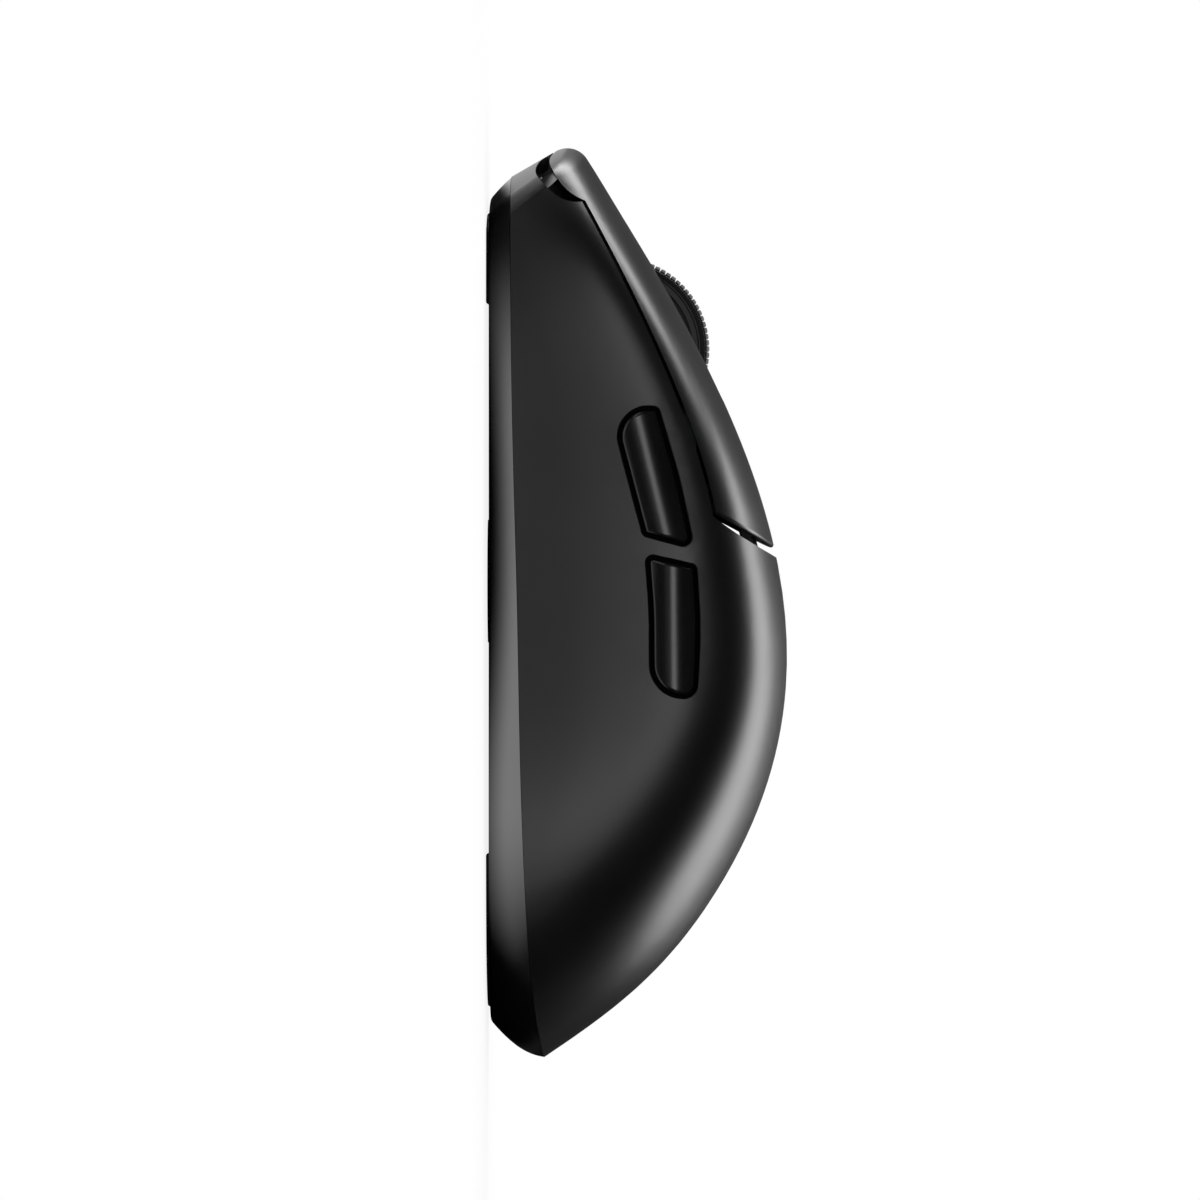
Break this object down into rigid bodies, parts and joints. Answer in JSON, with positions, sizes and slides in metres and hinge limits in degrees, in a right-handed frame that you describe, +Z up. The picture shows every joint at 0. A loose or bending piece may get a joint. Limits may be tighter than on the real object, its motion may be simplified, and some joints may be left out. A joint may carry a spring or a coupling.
{
  "type": "wireless mouse",
  "caption": "Low wireless computer mouse with a domed back, separate hinged main buttons, a studded scroll wheel and thumb buttons on the left side.",
  "frame": {"origin": "centre of the bounding box's bottom, on the plane the glide feet rest on", "axes": "+Y towards the nose, +Z up, +X to the right seen from behind, thumb buttons at -X"},
  "size_m": [0.0616, 0.1211, 0.0399],
  "materials": {
    "casing_black": "satin",
    "button_black": "satin",
    "inner_grey": "matt",
    "tyre_rubber": "matt, studded",
    "hub_grey": "satin",
    "steel": "fine ground",
    "socket_metal": "drawn sheet",
    "circuit_board": "lacquered",
    "chip_black": "moulded",
    "switch_black": "moulded",
    "plunger_white": "moulded",
    "battery_wrap": "shrink wrap",
    "lead_red": "insulated lead",
    "lens_clear": "clear moulded",
    "knob_grey": "matt",
    "foot_slick": "slick, slightly waxy"
  },
  "bodies": {
    "casing": {"top_shell": "casing_black", "base_shell": "casing_black", "main_button_pins": "steel", "middle_frame": "inner_grey", "frame_screws": "steel", "side_board": "circuit_board", "side_bracket": "inner_grey", "forward_switch_case": "switch_black", "back_switch_case": "switch_black", "carrier_bracket": "inner_grey", "carrier_pin": "steel", "middle_switch_case": "switch_black", "main_board": "circuit_board", "board_screws": "steel", "case_screws": "steel", "left_switch_case": "switch_black", "right_switch_case": "switch_black", "charging_socket": "socket_metal", "optical_sensor": "chip_black", "sensor_lens": "lens_clear", "radio_chip": "chip_black", "control_chip": "chip_black", "battery": "battery_wrap", "battery_tray": "inner_grey", "battery_plug": "plunger_white", "battery_leads": "lead_red", "power_switch": "socket_metal", "mode_switch_case": "switch_black", "front_foot": "foot_slick", "rear_foot": "foot_slick", "sensor_foot": "foot_slick"},
    "left_button": {"left_main_button": "casing_black"},
    "right_button": {"right_main_button": "casing_black"},
    "wheel_frame": {"wheel_carrier": "inner_grey", "encoder_housing": "switch_black", "axle_bush": "plunger_white"},
    "wheel": {"wheel_tyre": "tyre_rubber", "wheel_hub": "hub_grey", "wheel_axle": "steel", "encoder_rotor": "plunger_white"},
    "forward_button": {"forward_side_button": "button_black"},
    "back_button": {"back_side_button": "button_black"},
    "left_plunger": {"left_switch_plunger": "plunger_white"},
    "right_plunger": {"right_switch_plunger": "plunger_white"},
    "middle_plunger": {"middle_switch_plunger": "plunger_white"},
    "forward_plunger": {"forward_switch_plunger": "plunger_white"},
    "back_plunger": {"back_switch_plunger": "plunger_white"},
    "mode_plunger": {"mode_switch_plunger": "plunger_white"},
    "slider": {"power_knob": "knob_grey"},
    "mode_key": {"mode_button": "knob_grey"}
  },
  "joints": [
    {"name": "left_button_press", "type": "hinge", "parent": "casing", "child": "left_button", "pos_m": [-0.0135, 0.014, 0.02979], "axis": [-1, 0, 0], "range_deg": [0, 0.45], "stiffness_Nm_per_rad": 1.9, "springref_deg": -0.34},
    {"name": "right_button_press", "type": "hinge", "parent": "casing", "child": "right_button", "pos_m": [0.0135, 0.014, 0.02979], "axis": [-1, 0, 0], "range_deg": [0, 0.45], "stiffness_Nm_per_rad": 1.9, "springref_deg": -0.34},
    {"name": "wheel_click", "type": "hinge", "parent": "casing", "child": "wheel_frame", "pos_m": [0, 0.0145, 0.013], "axis": [-1, 0, 0], "range_deg": [0, 0.8], "stiffness_Nm_per_rad": 0.58, "springref_deg": -0.57},
    {"name": "wheel_spin", "type": "hinge", "parent": "wheel_frame", "child": "wheel", "pos_m": [0, 0.03384, 0.01719], "axis": [1, 0, 0], "continuous": true},
    {"name": "forward_button_press", "type": "slide", "parent": "casing", "child": "forward_button", "axis": [1, 0, 0], "range_m": [0, 0.0006], "stiffness_N_per_m": 1200, "springref_m": -0.0003},
    {"name": "back_button_press", "type": "slide", "parent": "casing", "child": "back_button", "axis": [1, 0, 0], "range_m": [0, 0.0006], "stiffness_N_per_m": 1200, "springref_m": -0.0003},
    {"name": "power_slide", "type": "slide", "parent": "casing", "child": "slider", "axis": [1, 0, 0], "range_m": [0, 0.0022]},
    {"name": "mode_press", "type": "slide", "parent": "casing", "child": "mode_key", "axis": [0, 0, 1], "range_m": [0, 0.0004], "stiffness_N_per_m": 1500, "springref_m": -0.0003},
    {"name": "left_plunger_slide", "type": "slide", "parent": "casing", "child": "left_plunger", "axis": [0, 0, -1], "range_m": [0, 0.0003]},
    {"name": "right_plunger_slide", "type": "slide", "parent": "casing", "child": "right_plunger", "axis": [0, 0, -1], "range_m": [0, 0.0003]},
    {"name": "middle_plunger_slide", "type": "slide", "parent": "casing", "child": "middle_plunger", "axis": [0, 0, -1], "range_m": [0, 0.0005]},
    {"name": "forward_plunger_slide", "type": "slide", "parent": "casing", "child": "forward_plunger", "axis": [1, 0, 0], "range_m": [0, 0.0006]},
    {"name": "back_plunger_slide", "type": "slide", "parent": "casing", "child": "back_plunger", "axis": [1, 0, 0], "range_m": [0, 0.0006]},
    {"name": "mode_plunger_slide", "type": "slide", "parent": "casing", "child": "mode_plunger", "axis": [0, 0, 1], "range_m": [0, 0.0004]}
  ],
  "couplings": [
    {"joint": "left_plunger_slide", "follows": "left_button_press", "m_per_rad": 0.031},
    {"joint": "right_plunger_slide", "follows": "right_button_press", "m_per_rad": 0.031},
    {"joint": "middle_plunger_slide", "follows": "wheel_click", "m_per_rad": 0.0324},
    {"joint": "forward_plunger_slide", "follows": "forward_button_press", "ratio": 1},
    {"joint": "back_plunger_slide", "follows": "back_button_press", "ratio": 1},
    {"joint": "mode_plunger_slide", "follows": "mode_press", "ratio": 1}
  ]
}
